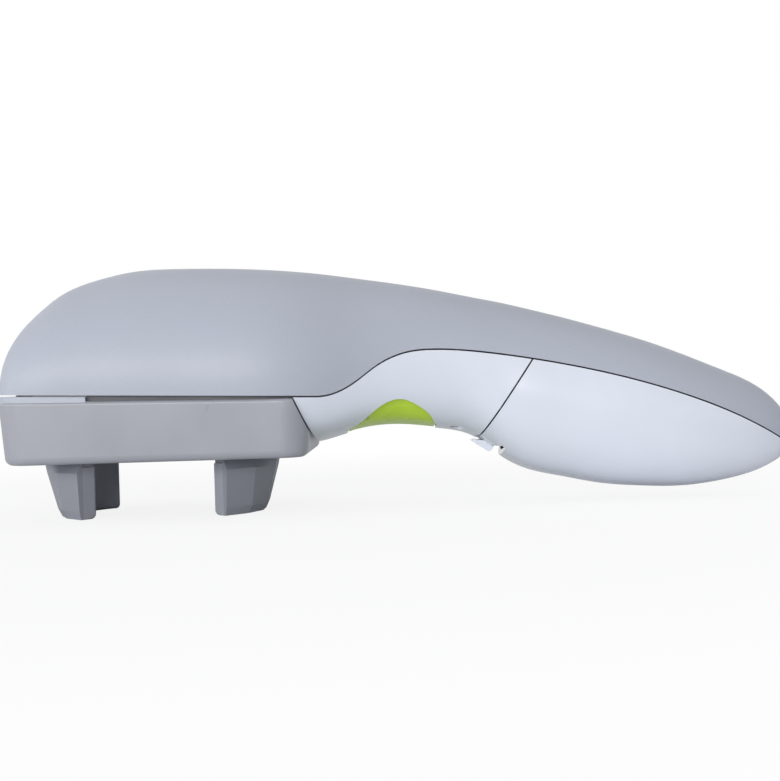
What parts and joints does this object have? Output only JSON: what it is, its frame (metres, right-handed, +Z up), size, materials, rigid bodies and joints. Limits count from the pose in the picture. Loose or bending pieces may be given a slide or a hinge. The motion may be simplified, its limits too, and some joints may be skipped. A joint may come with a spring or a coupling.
{
  "type": "electric jar opener",
  "caption": "Handheld battery opener with a faceted jaw housing, two sliding grip jaws on a turntable, a thumb-side trigger and a drooping handle.",
  "frame": {"origin": "on the gripping axis, in the plane of the jaws' lower edges", "axes": "+X to the tail of the handle, +Z up along the gripping axis, away from the lid"},
  "size_m": [0.2467, 0.0832, 0.0775],
  "materials": {
    "pearl_shell": "pearl paint",
    "white_shell": "smooth gloss",
    "grey_housing": "fine satin",
    "jaw_plastic": "satin",
    "grip_rubber": "matt",
    "trigger_green": "satin",
    "inner_plastic": "moulded",
    "gear_plastic": "moulded acetal",
    "steel": "bright",
    "motor_steel": "plated",
    "brass": "turned",
    "felt": "felt",
    "board_green": "laminate",
    "switch_black": "moulded",
    "cell_wrap": "printed wrap, left plain",
    "contact_metal": "nickel plated"
  },
  "bodies": {
    "housing": {"upper_shell": "pearl_shell", "handle_shell": "white_shell", "jaw_housing": "grey_housing", "gear_frame": "inner_plastic", "motor_plate": "inner_plastic", "hub_bush": "brass", "motor_can": "motor_steel", "motor_cap": "inner_plastic", "motor_screws": "steel", "plate_screws": "steel", "housing_screws": "steel", "grip_screws": "steel", "gear_axles": "steel", "brake_pad": "felt", "circuit_board": "board_green", "board_parts": "switch_black", "board_screws": "steel", "trigger_switch": "switch_black", "switch_screws": "steel", "trigger_pin": "steel", "trigger_spring": "steel", "battery_tray": "inner_plastic", "tray_screws": "steel", "front_contacts": "contact_metal", "rear_contacts": "contact_metal", "cell_1": "cell_wrap", "cell_2": "cell_wrap", "cell_3": "cell_wrap", "cell_4": "cell_wrap", "hinge_pin": "steel"},
    "turntable": {"turntable_disc": "jaw_plastic", "hub_cover": "inner_plastic", "hub_screws": "steel", "output_gear": "gear_plastic", "retaining_ring": "steel"},
    "center_pinion": {"center_pinion": "gear_plastic", "brake_disc": "steel", "brake_spring": "steel"},
    "left_jaw": {"left_jaw": "jaw_plastic", "left_pad": "grip_rubber", "left_rack": "gear_plastic", "left_jaw_screws": "steel"},
    "right_jaw": {"right_jaw": "jaw_plastic", "right_pad": "grip_rubber", "right_rack": "gear_plastic", "right_jaw_screws": "steel"},
    "compound_b": {"compound_gear_b": "gear_plastic"},
    "compound_a": {"compound_gear_a": "gear_plastic"},
    "motor_rotor": {"motor_shaft": "steel", "motor_pinion": "brass"},
    "trigger": {"trigger_button": "trigger_green"},
    "switch_plunger": {"switch_plunger": "switch_black"},
    "battery_cover": {"battery_cover": "white_shell", "latch_pin": "steel"},
    "battery_latch": {"battery_latch": "white_shell"}
  },
  "joints": [
    {"name": "turntable_spin", "type": "hinge", "parent": "housing", "child": "turntable", "pos_m": [0, 0, 0.02], "axis": [0, 0, 1], "continuous": true},
    {"name": "left_jaw_slide", "type": "slide", "parent": "turntable", "child": "left_jaw", "axis": [1, 0, 0], "range_m": [0, 0.013]},
    {"name": "right_jaw_slide", "type": "slide", "parent": "turntable", "child": "right_jaw", "axis": [-1, 0, 0], "range_m": [0, 0.013]},
    {"name": "center_pinion_spin", "type": "hinge", "parent": "turntable", "child": "center_pinion", "pos_m": [0, 0, 0.0243], "axis": [0, 0, 1], "range_deg": [0, 125]},
    {"name": "compound_b_spin", "type": "hinge", "parent": "housing", "child": "compound_b", "pos_m": [0.03099, -0.0083, 0.0345], "axis": [0, 0, 1], "continuous": true},
    {"name": "compound_a_spin", "type": "hinge", "parent": "housing", "child": "compound_a", "pos_m": [0.02712, 0.01028, 0.039], "axis": [0, 0, 1], "continuous": true},
    {"name": "motor_spin", "type": "hinge", "parent": "housing", "child": "motor_rotor", "pos_m": [0.01406, 0.00274, 0.042], "axis": [0, 0, 1], "continuous": true},
    {"name": "trigger_pull", "type": "hinge", "parent": "housing", "child": "trigger", "pos_m": [0.06295, 0, 0.02992], "axis": [0, -1, 0], "range_deg": [0, 5.5], "stiffness_Nm_per_rad": 0.6, "springref_deg": -4.58, "deforming": ["trigger_spring"]},
    {"name": "plunger_slide", "type": "slide", "parent": "housing", "child": "switch_plunger", "axis": [0.0304, 0, 0.9995], "range_m": [0, 0.0016]},
    {"name": "battery_cover_swing", "type": "hinge", "parent": "housing", "child": "battery_cover", "pos_m": [0.20052, 0, 0.01694], "axis": [0, -1, 0], "range_deg": [0, 35]},
    {"name": "battery_latch_turn", "type": "hinge", "parent": "battery_cover", "child": "battery_latch", "pos_m": [0.10503, 0, 0.02184], "axis": [0, -1, 0], "range_deg": [0, 10], "stiffness_Nm_per_rad": 0.05}
  ],
  "couplings": [
    {"joint": "right_jaw_slide", "follows": "left_jaw_slide", "ratio": 1},
    {"joint": "center_pinion_spin", "follows": "left_jaw_slide", "rad_per_m": 166.67},
    {"joint": "compound_b_spin", "follows": "turntable_spin", "ratio": -4.3333},
    {"joint": "compound_a_spin", "follows": "turntable_spin", "ratio": 15.167},
    {"joint": "motor_spin", "follows": "turntable_spin", "ratio": -75.833},
    {"joint": "plunger_slide", "follows": "trigger_pull", "m_per_rad": 0.016}
  ]
}
